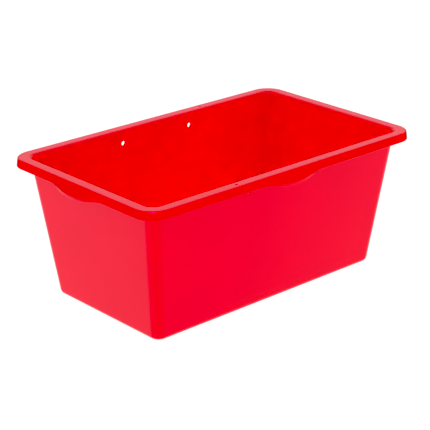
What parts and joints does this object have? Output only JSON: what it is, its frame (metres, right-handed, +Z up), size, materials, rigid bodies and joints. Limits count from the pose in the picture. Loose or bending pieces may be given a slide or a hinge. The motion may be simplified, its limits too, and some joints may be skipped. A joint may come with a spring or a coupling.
{
  "type": "trough feeder",
  "caption": "Open rectangular feed trough moulded in thin plastic, with drafted walls, a flanged rim with a turned-down skirt, hand grips and fixing holes in its long walls.",
  "frame": {"origin": "on the ground under the middle of the floor", "axes": "+X along the trough, +Y to the rear long wall, +Z up out of the mouth"},
  "size_m": [0.629, 0.396, 0.25],
  "materials": {
    "moulding": "smooth glossy injection-moulded polyethylene, coloured through"
  },
  "bodies": {
    "root": {"floor_pan": "moulding", "front_wall": "moulding", "rear_wall": "moulding", "left_wall": "moulding", "right_wall": "moulding", "front_left_corner": "moulding", "front_right_corner": "moulding", "rear_left_corner": "moulding", "rear_right_corner": "moulding", "front_flange": "moulding", "front_skirt": "moulding", "front_grip": "moulding", "rear_flange": "moulding", "rear_skirt": "moulding", "rear_grip": "moulding", "left_flange": "moulding", "left_skirt": "moulding", "left_grip": "moulding", "right_flange": "moulding", "right_skirt": "moulding", "right_grip": "moulding", "front_left_rim_corner": "moulding", "front_right_rim_corner": "moulding", "rear_left_rim_corner": "moulding", "rear_right_rim_corner": "moulding"}
  },
  "joints": []
}
